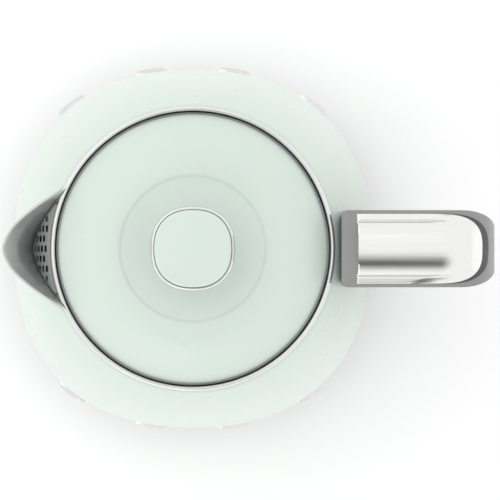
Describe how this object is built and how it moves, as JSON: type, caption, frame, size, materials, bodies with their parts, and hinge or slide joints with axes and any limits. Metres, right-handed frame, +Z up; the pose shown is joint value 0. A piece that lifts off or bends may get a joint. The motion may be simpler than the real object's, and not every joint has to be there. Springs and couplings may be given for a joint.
{
  "type": "cordless electric jug kettle",
  "caption": "Rounded retro jug kettle seen with its power base: hinged lid with a square knob, V spout with slotted filter, side loop handle and switch lever.",
  "frame": {"origin": "on the table plane under the body axis, at the middle of the power base's foot ring", "axes": "+Z up along the body axis, +X towards the handle, -X towards the spout, Y across"},
  "size_m": [0.2262, 0.1746, 0.248],
  "materials": {
    "mint_paint": "gloss enamel over pressed steel",
    "polished_chrome": "polished",
    "brushed_steel": "long brushed grain",
    "satin_steel": "satin, drawn",
    "grey_plastic": "fine satin moulding",
    "dark_plastic": "fine matt moulding",
    "base_plastic": "fine texture",
    "filter_plastic": "satin",
    "clear_plastic": "clear",
    "silicone": "soft matt",
    "black_rubber": "matt",
    "brass": "bright",
    "aluminium": "as cast",
    "amber_lens": "translucent"
  },
  "bodies": {
    "power_base": {"base_foot_ring": "black_rubber", "base_underplate": "base_plastic", "base_cover": "base_plastic", "base_trim_band": "polished_chrome", "base_screws": "satin_steel", "cord_gland": "black_rubber", "connector_hub": "dark_plastic", "contact_pin": "brass", "contact_ring_inner": "brass", "contact_ring_outer": "brass", "terminal_block": "dark_plastic"},
    "kettle": {"body_wall": "mint_paint", "rim_ring": "polished_chrome", "spout": "satin_steel", "heater_plate": "satin_steel", "heat_spreader": "aluminium", "heating_element": "aluminium", "plate_seal": "silicone", "control_unit": "dark_plastic", "bimetal_discs": "brass", "socket_contacts": "brass", "bottom_cover": "dark_plastic", "bottom_screws": "satin_steel", "steam_tube": "silicone", "side_badges_left": "polished_chrome", "side_badges_right": "polished_chrome", "handle_core": "grey_plastic", "handle_cover": "brushed_steel", "handle_gasket": "dark_plastic", "handle_screws": "satin_steel", "water_window": "clear_plastic", "window_frame": "grey_plastic", "lid_hinge_bracket": "satin_steel", "hinge_pin": "satin_steel", "lever_pivot": "satin_steel", "indicator_lens": "amber_lens"},
    "lid": {"lid_skin": "mint_paint", "lid_rim_band": "grey_plastic", "lid_liner": "satin_steel", "lid_seal": "silicone", "lid_hinge_arm": "grey_plastic", "knob_stem": "polished_chrome", "knob_ring": "polished_chrome", "knob_cap": "mint_paint", "knob_screw": "satin_steel"},
    "filter": {"spout_filter": "filter_plastic", "filter_frame": "filter_plastic"},
    "lever": {"switch_lever": "polished_chrome", "lever_core": "dark_plastic"}
  },
  "joints": [
    {"name": "kettle_lift", "type": "slide", "parent": "power_base", "child": "kettle", "axis": [0, 0, 1], "range_m": [0, 0.06]},
    {"name": "lid_hinge", "type": "hinge", "parent": "kettle", "child": "lid", "pos_m": [0.049, 0, 0.2035], "axis": [0, 1, 0], "range_deg": [0, 70]},
    {"name": "switch_lever", "type": "hinge", "parent": "kettle", "child": "lever", "pos_m": [0.103, 0, 0.0405], "axis": [0, 1, 0], "range_deg": [0, 12]},
    {"name": "filter_removal", "type": "slide", "parent": "kettle", "child": "filter", "axis": [0.7997, 0, -0.6004], "range_m": [0, 0.022]}
  ]
}
